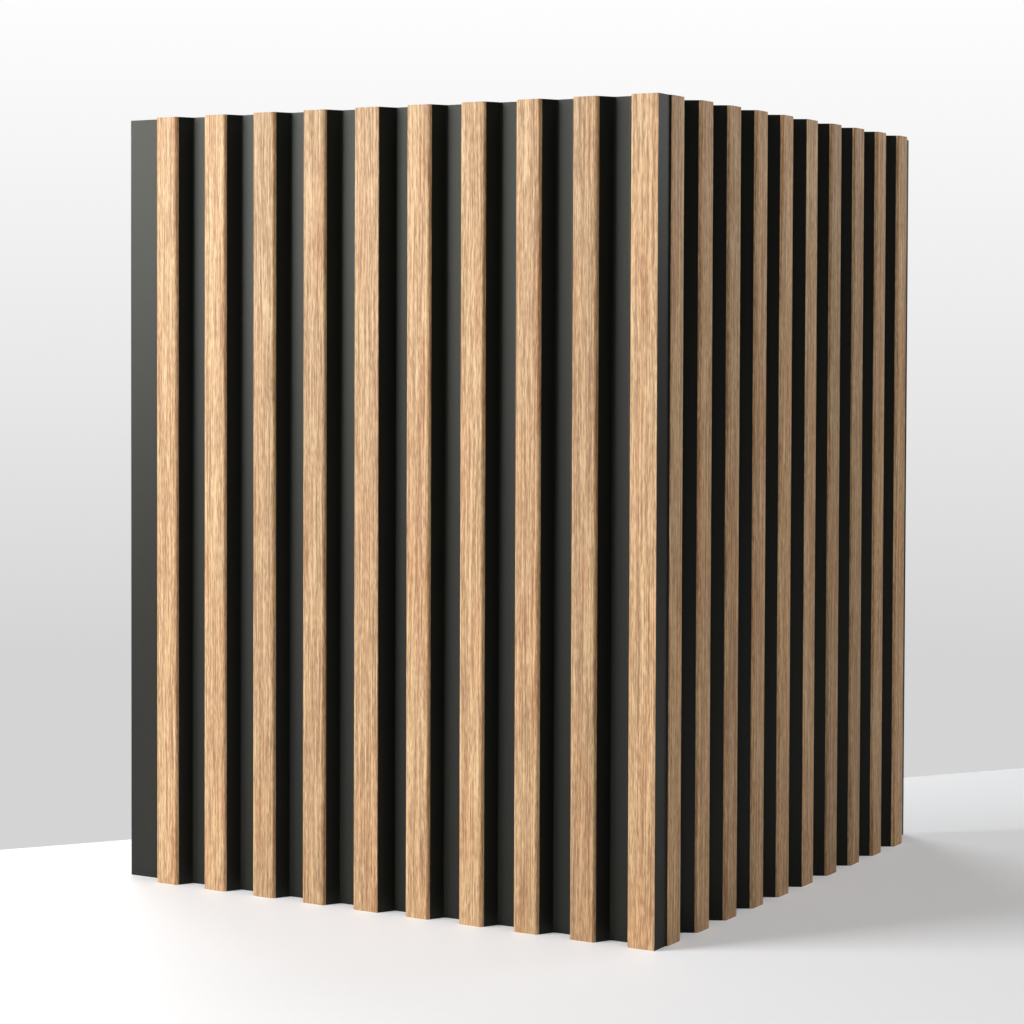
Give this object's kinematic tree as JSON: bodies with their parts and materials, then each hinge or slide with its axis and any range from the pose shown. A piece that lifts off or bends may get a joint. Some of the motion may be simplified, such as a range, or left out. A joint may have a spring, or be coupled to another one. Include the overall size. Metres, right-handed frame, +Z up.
{
  "type": "slatted wall panel corner",
  "caption": "Slatted wall panels set round an outside corner: black extruded profiles with oak-look film on their tapered slats, lapped along each leaf.",
  "frame": {"origin": "on the floor, at the middle of the whole box in plan", "axes": "+Z up along the slats; the left leaf runs along X and looks along -Y, the right leaf runs along +Y and looks along +X"},
  "size_m": [0.3192, 0.3296, 0.4],
  "materials": {
    "black_profile": "satin black extruded polymer",
    "oak_film": "matt oak decor film with fine vertical grain"
  },
  "bodies": {
    "root": {"left_panel_1": "black_profile", "left_panel_2": "black_profile", "left_slat_film_01": "oak_film", "left_slat_film_02": "oak_film", "left_slat_film_03": "oak_film", "left_slat_film_04": "oak_film", "left_slat_film_05": "oak_film", "left_slat_film_06": "oak_film", "left_slat_film_07": "oak_film", "left_slat_film_08": "oak_film", "left_slat_film_09": "oak_film", "left_slat_film_10": "oak_film", "right_panel_1": "black_profile", "right_panel_2": "black_profile", "right_slat_film_01": "oak_film", "right_slat_film_02": "oak_film", "right_slat_film_03": "oak_film", "right_slat_film_04": "oak_film", "right_slat_film_05": "oak_film", "right_slat_film_06": "oak_film", "right_slat_film_07": "oak_film", "right_slat_film_08": "oak_film", "right_slat_film_09": "oak_film", "right_slat_film_10": "oak_film"}
  },
  "joints": []
}
